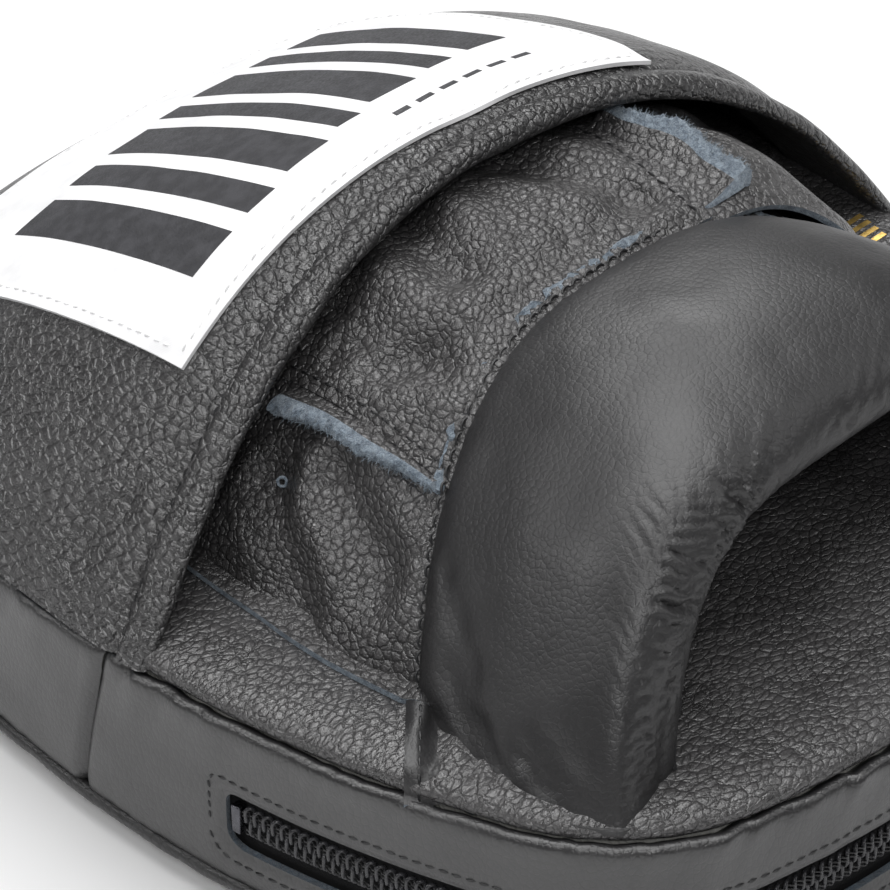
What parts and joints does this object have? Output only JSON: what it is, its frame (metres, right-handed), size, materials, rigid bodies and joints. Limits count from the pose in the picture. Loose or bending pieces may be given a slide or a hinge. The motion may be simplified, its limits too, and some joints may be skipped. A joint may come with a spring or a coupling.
{
  "type": "focus mitt",
  "caption": "Leather boxing focus mitt with a padded striking face, zipped side wall, padded wrist roll, hand pocket and finger hood.",
  "frame": {"origin": "centre of the footprint, on the plane that the striking face lies on", "axes": "+Y towards the fingertips, +Z out of the back of the mitt, X across it with the zip's closed end at +X"},
  "size_m": [0.2026, 0.2346, 0.105],
  "materials": {
    "face_leather": "satin",
    "target_leather": "satin",
    "welt_leather": "satin",
    "gusset_leather": "satin",
    "back_leather": "satin",
    "glove_leather": "satin",
    "roll_leather": "satin",
    "hood_leather": "satin",
    "raw_suede": "matte",
    "foam": "matte",
    "lining": "matte",
    "zip_tape": "matte",
    "zip_coil": "gloss",
    "zip_metal": "gloss",
    "patch_cloth": "matte"
  },
  "bodies": {
    "pad": {"target_panel": "face_leather", "target_disc": "target_leather", "front_welt": "welt_leather", "gusset_tip": "gusset_leather", "gusset_wrist": "gusset_leather", "back_panel": "back_leather", "foam_strike": "foam", "foam_core": "foam", "foam_back": "foam", "zip_tape_upper": "zip_tape", "zip_tape_lower": "zip_tape", "zip_coil_upper": "zip_coil", "zip_coil_lower": "zip_coil", "zip_start_stop": "zip_metal", "zip_end_stop": "zip_metal", "glove_centre_panel": "glove_leather", "glove_thumb_panel": "glove_leather", "glove_little_panel": "glove_leather", "glove_lining": "lining", "seam_edge_thumb": "raw_suede", "seam_edge_little": "raw_suede", "seam_edge_thumb_base": "raw_suede", "seam_edge_little_base": "raw_suede", "roll_cover": "roll_leather", "roll_foam": "foam", "roll_lining": "lining", "roll_seam_edge": "raw_suede", "roll_strap_left": "roll_leather", "roll_strap_right": "roll_leather", "hood_cover": "hood_leather", "hood_foam": "foam", "hood_lining": "lining", "hood_hem": "hood_leather", "hood_patch": "patch_cloth"},
    "slider": {"zip_slider": "zip_metal"},
    "pull": {"zip_pull": "zip_metal"}
  },
  "joints": [
    {"name": "slider_travel", "type": "hinge", "parent": "pad", "child": "slider", "pos_m": [0, 0.079, 0.0236], "axis": [0, 0, -1], "range_deg": [0, 22.2]},
    {"name": "pull_swing", "type": "hinge", "parent": "slider", "child": "pull", "pos_m": [0.03798, -0.11456, 0.0236], "axis": [0, 0, -1], "range_deg": [0, 170]}
  ]
}
